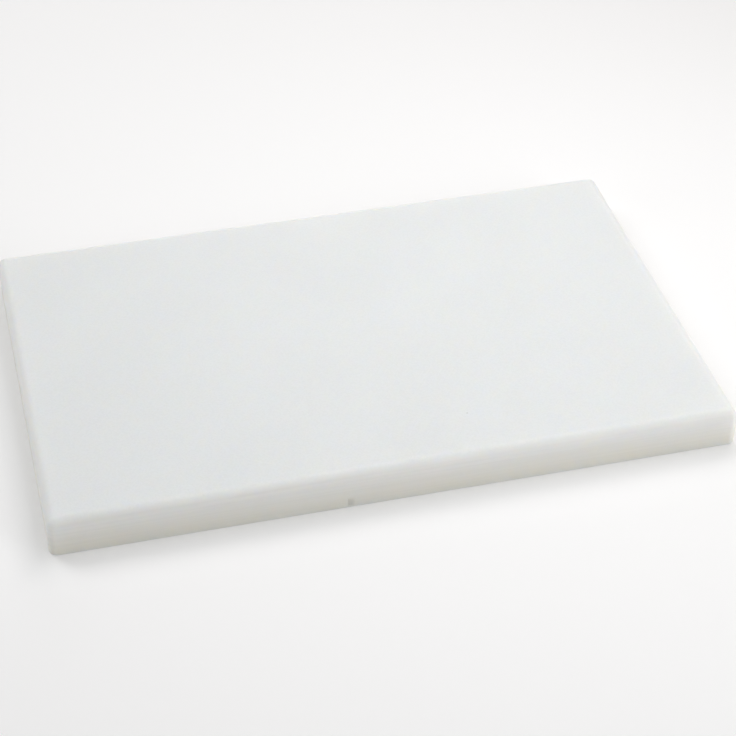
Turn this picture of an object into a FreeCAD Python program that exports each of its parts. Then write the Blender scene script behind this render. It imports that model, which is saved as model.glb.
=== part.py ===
import FreeCAD, Part
import Sketcher
import os

# A butcher's cutting board: one solid slab of white high-density polyethylene, cut from
# thick pressed sheet. Nothing is fastened to it and nothing in it moves.
#
# The frame is in millimetres. The origin is the middle of the underside, +X runs along
# the long side, +Y across the board, and +Z up through its thickness to the cutting face.

# The driving dimensions, in the order in which the board is made: a sawn blank, its four
# corners rounded, its upper edge routed soft for the hands, its lower edge only broken.
BOARD_SIZES = {
    "board_length": 500.0,
    "board_width": 320.0,
    "board_thickness": 30.0,
    "corner_radius": 6.0,
    "upper_edge_radius": 8.0,
    "lower_edge_radius": 1.0,
}

# How far apart two heights or lengths may be and still count as the same, in mm.
TOLERANCE = 1e-4

# Sketcher's numbers for the ends of a line, and for the sketch's own origin point.
LINE_START, LINE_END = 1, 2
SKETCH_ORIGIN = (-1, 1)


def make_sheet(doc):
    """Write the driving dimensions into a spreadsheet, one alias to a row."""
    sheet = doc.addObject("Spreadsheet::Sheet", "sizes")
    for row, (alias, value) in enumerate(BOARD_SIZES.items(), start=1):
        sheet.set(f"A{row}", alias)
        sheet.set(f"B{row}", str(value))
        sheet.setAlias(f"B{row}", alias)
    doc.recompute()
    return sheet


def origin_plane(body, role):
    """Find the body's own origin plane that has this role, such as XY_Plane."""
    for feature in body.Origin.OriginFeatures:
        if feature.Role == role:
            return feature
    raise RuntimeError(f"{body.Label} has no {role}")


def add_size(sketch, name, kind, side, sheet, alias):
    """Give one side of a sketch the length held in the spreadsheet's cell."""
    length = getattr(sheet, alias)
    number = sketch.addConstraint(
        Sketcher.Constraint(kind, side, LINE_START, side, LINE_END, length)
    )
    sketch.renameConstraint(number, name)
    sketch.setExpression(f"Constraints.{name}", f"sizes.{alias}")


def draw_outline(body, sheet):
    """Draw the blank's outline on the underside: a rectangle about the origin."""
    sketch = body.newObject("Sketcher::SketchObject", "blank_outline")
    sketch.AttachmentSupport = [(origin_plane(body, "XY_Plane"), "")]
    sketch.MapMode = "FlatFace"

    x = sheet.board_length / 2
    y = sheet.board_width / 2
    corners = [FreeCAD.Vector(*at) for at in ((-x, -y), (x, -y), (x, y), (-x, y))]
    lines = [Part.LineSegment(corners[i - 1], corners[i]) for i in range(4)]
    left, front, right, back = sketch.addGeometry(lines, False)

    for side, following in ((left, front), (front, right), (right, back), (back, left)):
        sketch.addConstraint(
            Sketcher.Constraint("Coincident", side, LINE_END, following, LINE_START)
        )
    for side in (front, back):
        sketch.addConstraint(Sketcher.Constraint("Horizontal", side))
    for side in (left, right):
        sketch.addConstraint(Sketcher.Constraint("Vertical", side))
    sketch.addConstraint(
        Sketcher.Constraint("Symmetric", front, LINE_START, back, LINE_START, *SKETCH_ORIGIN)
    )
    add_size(sketch, "length", "DistanceX", front, sheet, "board_length")
    add_size(sketch, "width", "DistanceY", right, sheet, "board_width")
    return sketch


def round_edges(body, name, base, wanted, alias):
    """Round every edge of the base that is wanted, to the radius in the cell."""
    names = [f"Edge{i}" for i, edge in enumerate(base.Shape.Edges, start=1) if wanted(edge)]
    if not names:
        raise RuntimeError(f"{name} found no edge to round")
    fillet = body.newObject("PartDesign::Fillet", name)
    fillet.Base = (base, names)
    fillet.setExpression("Radius", f"sizes.{alias}")
    body.Document.recompute()
    return fillet


def lies_at(height):
    """Tell whether an edge lies wholly at this height."""

    def test(edge):
        box = edge.BoundBox
        return abs(box.ZMin - height) < TOLERANCE and abs(box.ZMax - height) < TOLERANCE

    return test


def stands_upright(edge):
    """Tell whether an edge runs straight up the board's thickness."""
    box = edge.BoundBox
    return box.XLength < TOLERANCE and box.YLength < TOLERANCE


def make_board(doc, sheet):
    """Make the slab: saw the blank, then round its corners and its two rims."""
    body = doc.addObject("PartDesign::Body", "board")
    body.Label = "board"
    outline = draw_outline(body, sheet)
    doc.recompute()

    blank = body.newObject("PartDesign::Pad", "sawn_blank")
    blank.Profile = outline
    blank.setExpression("Length", "sizes.board_thickness")
    outline.Visibility = False
    doc.recompute()

    corners = round_edges(body, "corners", blank, stands_upright, "corner_radius")
    upper_rim = lies_at(sheet.board_thickness)
    upper = round_edges(body, "upper_edge", corners, upper_rim, "upper_edge_radius")
    lower = round_edges(body, "lower_edge", upper, lies_at(0.0), "lower_edge_radius")

    body.Tip = lower
    body.Placement = FreeCAD.Placement()
    doc.recompute()
    return body


def check_document(doc):
    """Stop if any object of the document failed to recompute."""
    for item in doc.Objects:
        if "Invalid" in item.State or "Error" in item.State:
            raise RuntimeError(f"{item.Label} failed: {item.State}")


def check_board(board, sheet):
    """Stop unless the board is one sound solid of the size that the cells give."""
    shape = board.Shape
    if shape.isNull() or not shape.isValid() or len(shape.Solids) != 1:
        raise RuntimeError(f"{board.Label} isn't one sound solid")

    wanted = (sheet.board_length, sheet.board_width, sheet.board_thickness)
    box = shape.optimalBoundingBox(False, False)
    made = (box.XLength, box.YLength, box.ZLength)
    if any(abs(a - b) > TOLERANCE for a, b in zip(made, wanted)):
        raise RuntimeError(f"{board.Label} measures {made}, not {wanted}")
    print(f"{board.Label}: {made} mm, {shape.Volume / 1000:.1f} cm3, {len(shape.Faces)} faces")


def main():
    doc = FreeCAD.newDocument("cutting_board")
    sheet = make_sheet(doc)
    board = make_board(doc, sheet)
    check_document(doc)
    check_board(board, sheet)

    os.makedirs("parts", exist_ok=True)
    board.Shape.exportStep(f"parts/{board.Label}.step")


main()
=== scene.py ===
import math

import bmesh
import bpy
from mathutils import Matrix, Vector


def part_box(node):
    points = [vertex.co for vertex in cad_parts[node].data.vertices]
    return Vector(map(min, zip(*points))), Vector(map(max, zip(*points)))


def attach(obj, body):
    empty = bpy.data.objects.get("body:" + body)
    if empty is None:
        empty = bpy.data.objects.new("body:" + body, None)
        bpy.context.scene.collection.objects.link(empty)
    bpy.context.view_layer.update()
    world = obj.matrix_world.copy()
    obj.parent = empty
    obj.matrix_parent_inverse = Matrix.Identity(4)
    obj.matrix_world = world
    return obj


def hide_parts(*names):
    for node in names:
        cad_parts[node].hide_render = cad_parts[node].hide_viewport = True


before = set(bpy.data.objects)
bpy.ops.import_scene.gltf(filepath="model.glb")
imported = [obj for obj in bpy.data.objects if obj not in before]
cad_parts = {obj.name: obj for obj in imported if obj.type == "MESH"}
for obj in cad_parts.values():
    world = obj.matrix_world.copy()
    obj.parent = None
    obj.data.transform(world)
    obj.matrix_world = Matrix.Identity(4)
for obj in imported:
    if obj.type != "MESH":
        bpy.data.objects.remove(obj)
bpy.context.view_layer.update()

# A cutting board of white high-density polyethylene, lying on a pale table under a soft
# studio light. Lengths are in metres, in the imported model's frame: +X along the board's
# long side, +Y across it, +Z up, with the origin in the middle of its underside.

MM = 0.001
LOW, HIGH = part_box("board")
SIZE = HIGH - LOW
MIDDLE = (LOW + HIGH) / 2

# ---------------------------------------------------------------- the slab's own roundings

CORNER_RADIUS = 6 * MM
UPPER_RADIUS = 8 * MM
LOWER_RADIUS = 1 * MM
CORNER_STEPS = 12
UPPER_STEPS = 16
LOWER_STEPS = 5
SUPPORT = 0.6 * MM          # a loop this close beside each rounding keeps the flats flat
FLAT_INSET = 12 * MM        # how far in from the sides the plane grid of each face begins
FLAT_STEP = 10 * MM
SIDE_STEP = 3 * MM
WELD = 0.001 * MM           # points closer together than this become one

# The nick low on the front side: a chip with a steep left wall that runs out to the right.
NICK_FROM_LEFT = 0.4176     # share of the board's length from its left end
NICK_LEFT = LOW.x + NICK_FROM_LEFT * SIZE.x
NICK_WIDTH = 5.8 * MM
NICK_HEIGHT = 10 * MM
NICK_DEPTH = 1.0 * MM
NICK_WALL = 0.4 * MM        # how far the left wall slopes
NICK_FADE = 0.5             # share of its height, and of its painted shade's width, where it fades out
NICK_FOOT = (0.6 * MM, 2.4 * MM)    # the heights where it begins, and where it is full
NICK_STEP = 0.4 * MM
NICK_MARGIN = 1 * MM        # the fine steps go on this far past the nick
FRONT_SKIN = 0.05 * MM      # points no deeper than this are on the front side


def smoothstep(low, high, value):
    """A smooth step from 0, where the value is low, to 1, where it is high."""
    share = min(max((value - low) / (high - low), 0.0), 1.0)
    return share * share * (3 - 2 * share)


def spread(start, stop, step):
    """Values from start to stop, evenly spaced about a step apart, both ends included."""
    count = max(1, round((stop - start) / step))
    return [start + (stop - start) * i / count for i in range(count + 1)]


def long_side_stations():
    """Places along the long sides, with close ones where the nick is."""
    half = SIZE.x / 2 - FLAT_INSET
    close = spread(NICK_LEFT - NICK_MARGIN, NICK_LEFT + NICK_WIDTH + NICK_MARGIN, NICK_STEP)
    before = spread(-half, close[0], FLAT_STEP)
    after = spread(close[-1], half, FLAT_STEP)
    return before + close[1:-1] + after


def outline(inset, xs, ys):
    """The board's outline, moved in by inset, anticlockwise from the front left corner.
    Every inset gives the same number of points, so that outlines join into strips. Moved
    in by more than the corners' radius, it is a plain rectangle."""
    radius = max(CORNER_RADIUS - inset, 0.0)
    side_x, side_y = SIZE.x / 2 - inset, SIZE.y / 2 - inset
    x, y = side_x - radius, side_y - radius
    along_x = [SUPPORT - x] + xs + [x - SUPPORT]
    along_y = [SUPPORT - y] + ys + [y - SUPPORT]
    points = []
    for cx, cy, start, along in (
        (-x, -y, 180, [(s, -side_y) for s in along_x]),
        (x, -y, 270, [(side_x, s) for s in along_y]),
        (x, y, 0, [(s, side_y) for s in reversed(along_x)]),
        (-x, y, 90, [(-side_x, s) for s in reversed(along_y)]),
    ):
        for i in range(CORNER_STEPS + 1):
            angle = math.radians(start + 90 * i / CORNER_STEPS)
            points.append((cx + radius * math.cos(angle), cy + radius * math.sin(angle)))
        points.extend(along)
    return points


def levels():
    """(inset, height) of each outline, from the underside's rim up to the top's rim."""
    lower = [
        (LOWER_RADIUS * (1 - math.sin(a)), LOWER_RADIUS * (1 - math.cos(a)))
        for a in (math.pi / 2 * i / LOWER_STEPS for i in range(LOWER_STEPS + 1))
    ]
    upper = [
        (UPPER_RADIUS * (1 - math.cos(a)), SIZE.z - UPPER_RADIUS * (1 - math.sin(a)))
        for a in (math.pi / 2 * i / UPPER_STEPS for i in range(UPPER_STEPS + 1))
    ]
    nick_top = NICK_HEIGHT + NICK_MARGIN
    side = [(0.0, LOWER_RADIUS + SUPPORT)]
    side += [(0.0, z) for z in spread(LOWER_RADIUS + 2 * SUPPORT, nick_top, NICK_STEP)]
    side += [(0.0, z) for z in spread(nick_top, SIZE.z - UPPER_RADIUS - SUPPORT, SIDE_STEP)[1:]]
    rim_in = [(LOWER_RADIUS + SUPPORT, 0.0)]
    rim_out = [(UPPER_RADIUS + SUPPORT, SIZE.z)]
    return rim_in + lower + side + upper + rim_out


def nick_share(x, z):
    """How much this place of the front side lies in the nick, from 0 to 1."""
    wall = smoothstep(-NICK_WALL / 2, NICK_WALL / 2, x - NICK_LEFT)
    top = 1.0 - smoothstep(NICK_FADE, 1.0, z / NICK_HEIGHT)
    foot = smoothstep(*NICK_FOOT, z)
    return wall * top * foot


def cut_nick(points):
    """Moves the points of the front side back into the board where the nick is."""
    front = LOW.y + FRONT_SKIN
    moved = []
    for p in points:
        run_out = max(0.0, 1.0 - (p.x - NICK_LEFT) / NICK_WIDTH)
        depth = NICK_DEPTH * run_out * nick_share(p.x, p.z) if p.y < front else 0.0
        moved.append(Vector((p.x, p.y + depth, p.z)))
    return moved


def nick_painted_shade(point):
    """How much painted shade darkens this place: evenly over most of the nick, then fading to its
    right end.
    """
    if point.y > LOW.y + NICK_DEPTH:
        return 0.0
    fade = 1.0 - smoothstep(NICK_FADE, 1.0, (point.x - NICK_LEFT) / NICK_WIDTH)
    return fade * nick_share(point.x, point.z)


def board_mesh():
    """The slab's surface: rings of faces round its sides, and a grid on each flat."""
    xs = long_side_stations()
    half = SIZE.y / 2 - FLAT_INSET
    ys = spread(-half, half, FLAT_STEP)
    mesh = bmesh.new()

    rings = []
    for inset, height in levels():
        points = [Vector((x, y, height)) for x, y in outline(inset, xs, ys)]
        rings.append([mesh.verts.new(p) for p in cut_nick(points)])
    count = len(rings[0])
    for low, high in zip(rings, rings[1:]):
        for i in range(count):
            j = (i + 1) % count
            mesh.faces.new((low[i], low[j], high[j], high[i]))

    for ring, height, up in ((rings[0], 0.0, False), (rings[-1], SIZE.z, True)):
        add_flat(mesh, ring, height, up, xs, ys)
    bmesh.ops.remove_doubles(mesh, verts=mesh.verts, dist=WELD)

    data = bpy.data.meshes.new("board_surface")
    mesh.to_mesh(data)
    mesh.free()
    for face in data.polygons:
        face.use_smooth = True
    # The painted shade in the nick, kept for each point.
    painted_shade = data.attributes.new("nick", "FLOAT", "POINT")
    for point, value in zip(data.vertices, painted_shade.data):
        value.value = nick_painted_shade(point.co)
    return data


def add_flat(mesh, ring, height, up, xs, ys):
    """Fills a rim with a plane grid, whose own rim lies FLAT_INSET in from the sides."""
    grid = {(x, y): mesh.verts.new((x, y, height)) for x in xs for y in ys}
    inner = [
        grid[(min(max(x, xs[0]), xs[-1]), min(max(y, ys[0]), ys[-1]))]
        for x, y in outline(0.0, xs, ys)
    ]

    def add(corners):
        corners = list(dict.fromkeys(corners))
        mesh.faces.new(corners if up else corners[::-1])

    count = len(ring)
    for i in range(count):
        j = (i + 1) % count
        add((ring[i], ring[j], inner[j], inner[i]))
    for x0, x1 in zip(xs, xs[1:]):
        for y0, y1 in zip(ys, ys[1:]):
            add((grid[(x0, y0)], grid[(x1, y0)], grid[(x1, y1)], grid[(x0, y1)]))


# ---------------------------------------------------------------------------- the material

# The faces and their faint clouding, the sides at their top and the painted shade at their foot,
# the inclusions, a scuff, and the painted shade in the nick.
FACE_COLOUR = (0.776, 0.799, 0.803)
CLOUD_COLOUR = (0.768, 0.791, 0.795)
SIDE_COLOUR = (0.784, 0.793, 0.794)
# The foot's colour is painted shade: the sides darken and warm towards the table.
FOOT_SHADE_COLOUR = (0.757, 0.739, 0.675)
SPECK_COLOUR = (0.36, 0.38, 0.34)
SCUFF_COLOUR = (0.86, 0.87, 0.87)
# The nick's colour is painted shade in its hollow.
NICK_SHADE_COLOUR = (0.64, 0.63, 0.58)

# The sides' look begins where the normal's upright part is the first of these, and is full
# at the second.
SIDE_LOOK = (0.99, 0.6)

# Most of a noise's values lie between these.
MOST_NOISE = (0.3, 0.7)

# The sizes of the pressed grain and the clouding, and of the two kinds of planing marks on the
# sides, (x, y, z): those that stand upright and those that run along.
GRAIN = (1.6 * MM,) * 3
CLOUD = (70 * MM,) * 3
UPRIGHT_MARKS = (1.1 * MM, 1.1 * MM, 60 * MM)
LONG_MARKS = (180 * MM, 180 * MM, 1.8 * MM)
LONG_SHARE = 0.88           # how much of the marks are those that run along

# Two sets of hairline scuffs on the faces, (length, width, turn, level of the noise where they
# begin), how much higher that level is where they are full, and the patches that they lie in.
SCUFFS = ((45 * MM, 0.5 * MM, 0.5, 0.66), (60 * MM, 0.6 * MM, 2.2, 0.67))
SCUFF_EDGE = 0.06
SCUFF_PATCH = (40 * MM,) * 3
SCUFF_PATCH_LEVELS = (0.45, 0.6)

# How much painted shade darkens the hollows of the relief, from which level of it and down to
# which, and how much a scuff is whitened.
HOLLOW_SHADE = 0.05
HOLLOW_LEVELS = (0.6, 0.35)
SCUFF_WHITE = 0.12

# The one clear inclusion in the cutting face, as shares of the length from the left end and
# of the width from the front side, and how dark it is.
SPECK_FROM_LEFT = 0.616
SPECK_FROM_FRONT = 0.142
SPECK_RADIUS = 0.9 * MM
SPECK_DARK = 0.4
SPECK_CORE = 0.4            # share of its radius where it is darkest

# The very faint ones: one in this share of the cells, which are this wide.
FAINT_CELL = 9 * MM
FAINT_RADIUS = 0.6 * MM
FAINT_SHARE = 0.03
FAINT_DARK = 0.2
FAINT_CORE = 0.5

# The roughness of the grain's hollows and crests, and what the sides and a scuff add to it.
ROUGHNESS = (0.52, 0.64)
SIDE_ROUGHER = 0.12
SCUFF_ROUGHER = 0.10

# How far the bumps of each kind reach.
GRAIN_DEPTH = 0.12 * MM
MARKS_DEPTH = 0.14 * MM
SCUFF_DEPTH = 0.05 * MM

# How the light goes through the polyethylene: how far in red, green and blue, times the length.
REFRACTION = 1.5
SCATTERING = (1.0, 0.85, 0.65)
SCATTERING_LENGTH = 13 * MM


class Nodes:
    """Short calls for building one material out of nodes."""

    def __init__(self, material):
        material.use_nodes = True
        self.tree = material.node_tree
        self.shader = self.tree.nodes["Principled BSDF"]
        self.place = self.add("ShaderNodeTexCoord").outputs["Object"]

    def add(self, kind, inputs=None, **settings):
        node = self.tree.nodes.new(kind)
        for name, value in settings.items():
            setattr(node, name, value)
        for name, value in (inputs or {}).items():
            if isinstance(value, bpy.types.NodeSocket):
                self.tree.links.new(value, node.inputs[name])
            else:
                node.inputs[name].default_value = value
        return node

    def math(self, operation, first, second=0.0):
        return self.add("ShaderNodeMath", {0: first, 1: second}, operation=operation).outputs[0]

    def mix(self, share, first, second):
        """The first colour where share is 0, and the second where it is 1."""
        colours = [(*c, 1) if isinstance(c, tuple) else c for c in (first, second)]
        inputs = {0: share, 6: colours[0], 7: colours[1]}
        return self.add("ShaderNodeMix", inputs, data_type="RGBA").outputs[2]

    def blend(self, share, first, second):
        """The first value where share is 0, and the second where it is 1."""
        return self.add("ShaderNodeMix", {0: share, 2: first, 3: second}).outputs[0]

    def ramp(self, value, low, high, to_low=0.0, to_high=1.0):
        """A smooth step from to_low, where the value is low, to to_high, where it is high."""
        inputs = {"Value": value, "From Min": low, "From Max": high}
        inputs.update({"To Min": to_low, "To Max": to_high})
        node = self.add("ShaderNodeMapRange", inputs, interpolation_type="SMOOTHSTEP")
        return node.outputs["Result"]

    def noise(self, grain, detail=2.0, turn=0.0):
        """Noise from 0 to 1 whose lumps measure grain, (x, y, z), turned about Z."""
        spin = self.add("ShaderNodeVectorRotate", {"Vector": self.place, "Angle": turn})
        scale = tuple(1 / g for g in grain)
        inputs = {0: spin.outputs[0], 1: scale}
        scaled = self.add("ShaderNodeVectorMath", inputs, operation="MULTIPLY")
        inputs = {"Vector": scaled.outputs[0], "Scale": 1.0, "Detail": detail}
        return self.add("ShaderNodeTexNoise", inputs).outputs["Fac"]

    def specks(self, spacing, radius, share):
        """Round inclusions, one in each cell this wide for that share of the cells."""
        inputs = {"Vector": self.place, "Scale": 1 / spacing}
        cells = self.add("ShaderNodeTexVoronoi", inputs)
        away = radius / spacing
        near = self.ramp(cells.outputs["Distance"], away, FAINT_CORE * away)
        pick = self.add("ShaderNodeSeparateColor", {"Color": cells.outputs["Color"]})
        chosen = self.math("GREATER_THAN", pick.outputs[0], 1 - share)
        return self.math("MULTIPLY", near, chosen)

    def speck(self, centre, radius):
        """One round inclusion about this place."""
        inputs = {0: self.place, 1: centre}
        away = self.add("ShaderNodeVectorMath", inputs, operation="DISTANCE").outputs["Value"]
        return self.ramp(away, radius, SPECK_CORE * radius)

    def scuffs(self, length, width, turn, above):
        """Sparse hairlines this long and wide, turned about Z."""
        lines = self.noise((length, width, length), 0.0, turn)
        patches = self.ramp(self.noise(SCUFF_PATCH, 1.0), *SCUFF_PATCH_LEVELS)
        return self.math("MULTIPLY", self.ramp(lines, above, above + SCUFF_EDGE), patches)

    def bump(self, height, distance, strength, below=None):
        """The surface's normal over this relief, laid on top of another relief's."""
        inputs = {"Height": height, "Distance": distance, "Strength": strength}
        if below is not None:
            inputs["Normal"] = below
        return self.add("ShaderNodeBump", inputs).outputs["Normal"]


def relief_and_scuffs(nodes, on_face):
    """The pressed grain, the planing marks and the scuffs, each as a value from 0 to 1."""
    grain = nodes.noise(GRAIN, 3.0)
    upright = nodes.noise(UPRIGHT_MARKS, 2.0)
    along = nodes.noise(LONG_MARKS, 2.0)
    marks = nodes.blend(LONG_SHARE, upright, along)
    first, second = (nodes.scuffs(*lines) for lines in SCUFFS)
    scuffs = nodes.math("MULTIPLY", nodes.math("MAXIMUM", first, second), on_face)
    return grain, marks, scuffs


def board_colour(nodes, on_side, relief, scuffs):
    """Clouded faces, sides darkened to the foot by painted shade, painted shade in the hollows and
    in the nick, and the scuffs and inclusions.
    """
    height = nodes.add("ShaderNodeSeparateXYZ", {"Vector": nodes.place}).outputs["Z"]
    cloud = nodes.ramp(nodes.noise(CLOUD), *MOST_NOISE)
    face = nodes.mix(cloud, FACE_COLOUR, CLOUD_COLOUR)
    # Painted shade: the sides darken and warm from their top down to their foot, by height alone.
    side = nodes.mix(nodes.ramp(height, LOW.z, HIGH.z), FOOT_SHADE_COLOUR, SIDE_COLOUR)
    colour = nodes.mix(on_side, face, side)

    # Painted shade: the relief's hollows are darkened towards the inclusions' colour.
    painted_shade = nodes.ramp(relief, *HOLLOW_LEVELS, 0.0, HOLLOW_SHADE)
    colour = nodes.mix(painted_shade, colour, SPECK_COLOUR)
    colour = nodes.mix(nodes.math("MULTIPLY", scuffs, SCUFF_WHITE), colour, SCUFF_COLOUR)

    faint = nodes.math("MULTIPLY", nodes.specks(FAINT_CELL, FAINT_RADIUS, FAINT_SHARE), FAINT_DARK)
    clear_at = (LOW.x + SPECK_FROM_LEFT * SIZE.x, LOW.y + SPECK_FROM_FRONT * SIZE.y, HIGH.z)
    clear = nodes.math("MULTIPLY", nodes.speck(clear_at, SPECK_RADIUS), SPECK_DARK)
    colour = nodes.mix(nodes.math("MAXIMUM", clear, faint), colour, SPECK_COLOUR)

    # Painted shade in the nick, read from the mesh's nick attribute.
    nick_shade = nodes.add("ShaderNodeAttribute", attribute_name="nick").outputs["Fac"]
    return nodes.mix(nick_shade, colour, NICK_SHADE_COLOUR)


def polyethylene():
    """Milky high-density polyethylene: pressed, satin faces and planed sides."""
    material = bpy.data.materials.new("white_polyethylene")
    nodes = Nodes(material)
    shader = nodes.shader

    normal = nodes.add("ShaderNodeNewGeometry").outputs["Normal"]
    upright = nodes.add("ShaderNodeSeparateXYZ", {"Vector": normal}).outputs["Z"]
    on_side = nodes.ramp(nodes.math("ABSOLUTE", upright), *SIDE_LOOK)
    on_face = nodes.math("SUBTRACT", 1.0, on_side)
    grain, marks, scuffs = relief_and_scuffs(nodes, on_face)

    colour = board_colour(nodes, on_side, nodes.blend(on_side, grain, marks), scuffs)
    nodes.tree.links.new(colour, shader.inputs["Base Color"])

    rough = nodes.ramp(grain, *MOST_NOISE, *ROUGHNESS)
    rough = nodes.math("ADD", rough, nodes.math("MULTIPLY", on_side, SIDE_ROUGHER))
    rough = nodes.math("ADD", rough, nodes.math("MULTIPLY", scuffs, SCUFF_ROUGHER))
    nodes.tree.links.new(rough, shader.inputs["Roughness"])

    relief = nodes.bump(grain, GRAIN_DEPTH, on_face)
    relief = nodes.bump(marks, MARKS_DEPTH, on_side, relief)
    relief = nodes.bump(nodes.math("MULTIPLY", scuffs, -1.0), SCUFF_DEPTH, 1.0, relief)
    nodes.tree.links.new(relief, shader.inputs["Normal"])

    shader.inputs["IOR"].default_value = REFRACTION
    shader.inputs["Subsurface Weight"].default_value = 1.0
    shader.inputs["Subsurface Radius"].default_value = SCATTERING
    shader.inputs["Subsurface Scale"].default_value = SCATTERING_LENGTH
    return material


# ------------------------------------------------------------------------------- the stage

# The floor's own glow stands in for the white room about it: weak where the board lies, and
# as bright as the pale backdrop far away, where the lights don't reach.
FLOOR_RADIUS = 12.0
FLOOR_SEGMENTS = 96
FLOOR_GAP = 0.05 * MM       # below the underside, so that the two planes don't coincide
FLOOR_COLOUR = (0.80, 0.80, 0.80)
FLOOR_ROUGHNESS = 0.9
GLOW_NEAR = 0.145
BACKDROP = 0.80
GLOW_FROM, GLOW_TO = 0.9, 3.0   # distances from the board's middle


def make_floor():
    """A round pale table top, far wider than the camera sees."""
    mesh = bmesh.new()
    bmesh.ops.create_circle(mesh, cap_ends=True, segments=FLOOR_SEGMENTS, radius=FLOOR_RADIUS)
    data = bpy.data.meshes.new("table")
    mesh.to_mesh(data)
    mesh.free()
    floor = bpy.data.objects.new("table", data)
    bpy.context.scene.collection.objects.link(floor)
    floor.location.z = LOW.z - FLOOR_GAP
    material = bpy.data.materials.new("table_white")
    nodes = Nodes(material)
    nodes.shader.inputs["Base Color"].default_value = (*FLOOR_COLOUR, 1)
    nodes.shader.inputs["Roughness"].default_value = FLOOR_ROUGHNESS
    nodes.shader.inputs["Emission Color"].default_value = (1, 1, 1, 1)
    away = nodes.add("ShaderNodeVectorMath", {0: nodes.place}, operation="LENGTH")
    glow = nodes.ramp(away.outputs["Value"], GLOW_FROM, GLOW_TO, GLOW_NEAR, BACKDROP)
    nodes.tree.links.new(glow, nodes.shader.inputs["Emission Strength"])
    data.materials.append(material)


def make_backdrop():
    """A pale background that only the camera sees, so that it doesn't light the board."""
    world = bpy.data.worlds.new("backdrop")
    world.use_nodes = True
    background = world.node_tree.nodes["Background"]
    background.inputs["Color"].default_value = (1, 1, 1, 1)
    background.inputs["Strength"].default_value = BACKDROP
    for ray in ("diffuse", "glossy", "transmission", "scatter"):
        setattr(world.cycles_visibility, ray, False)
    bpy.context.scene.world = world


# Softboxes about the table, each turned to the board: (name, place, side, watts, colour).
PLAIN, WARM = (1.0, 1.0, 1.0), (1.08, 1.0, 0.96)
LAMPS = (
    ("overhead", (0.25, 0.05, 0.8), 0.6, 2.85, PLAIN),
    ("back_left", (-1.1, 1.1, 1.5), 1.0, 16.8, PLAIN),
    ("back_right", (1.1, 1.1, 1.5), 1.0, 8.1, WARM),
    ("front", (0.0, -1.1, 1.5), 1.0, 5.5, PLAIN),
    ("back_low", (0.3, 1.8, 0.7), 0.8, 4.8, PLAIN),
    ("left_low", (-1.6, -0.3, 0.6), 0.8, 4.5, PLAIN),
    ("right_low", (1.6, -0.6, 0.6), 0.8, 4.3, PLAIN),
    ("front_right_low", (1.2, -1.4, 0.6), 0.8, 10.4, PLAIN),
)


def make_light(name, place, side, power, colour):
    """A square softbox that faces the origin, and that the camera doesn't see."""
    light = bpy.data.lights.new(name, "AREA")
    light.shape = "SQUARE"
    light.size = side
    light.energy = power
    light.color = colour
    lamp = bpy.data.objects.new(name, light)
    bpy.context.scene.collection.objects.link(lamp)
    lamp.location = Vector(place)
    lamp.rotation_euler = (-lamp.location).to_track_quat("-Z", "Y").to_euler()
    lamp.visible_camera = False


# ------------------------------------------------------------------------------ the camera

# Azimuth 0 looks along +Y. The camera stands to the left of the middle and looks down at
# the board through a long lens, aimed a little to the right of and below its middle.
CAMERA_AZIMUTH = math.radians(-14.50)
CAMERA_ELEVATION = math.radians(38.70)
CAMERA_ROLL = math.radians(0.53)
CAMERA_DISTANCE = 1.5080
CAMERA_LENS = 96.86         # Blender takes the lens and the sensor's width in mm
CAMERA_SENSOR = 36.0
AIM_RIGHT = 13.09 * MM
AIM_DOWN = 17.01 * MM


def make_camera():
    """The camera at the photograph's angle, placed from the board's middle."""
    back = Vector((
        math.sin(CAMERA_AZIMUTH) * math.cos(CAMERA_ELEVATION),
        -math.cos(CAMERA_AZIMUTH) * math.cos(CAMERA_ELEVATION),
        math.sin(CAMERA_ELEVATION),
    ))
    level_right = (-back).cross(Vector((0, 0, 1))).normalized()
    level_up = level_right.cross(-back)
    right = math.cos(CAMERA_ROLL) * level_right + math.sin(CAMERA_ROLL) * level_up
    up = -math.sin(CAMERA_ROLL) * level_right + math.cos(CAMERA_ROLL) * level_up
    place = MIDDLE + back * CAMERA_DISTANCE + right * AIM_RIGHT - up * AIM_DOWN

    lens = bpy.data.cameras.new("camera")
    lens.lens = CAMERA_LENS
    lens.sensor_width = CAMERA_SENSOR
    camera = bpy.data.objects.new("camera", lens)
    bpy.context.scene.collection.objects.link(camera)
    turn = Matrix((right, up, back)).transposed()
    camera.matrix_world = Matrix.Translation(place) @ turn.to_4x4()
    bpy.context.scene.camera = camera


# ------------------------------------------------------------------------------ everything

scene = bpy.context.scene
scene.view_settings.view_transform = "Standard"
scene.cycles.use_denoising = True

board = bpy.data.objects.new("board_slab", board_mesh())
scene.collection.objects.link(board)
board.data.materials.append(polyethylene())
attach(board, "root")
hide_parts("board")

make_floor()
make_backdrop()
for lamp in LAMPS:
    make_light(*lamp)
make_camera()
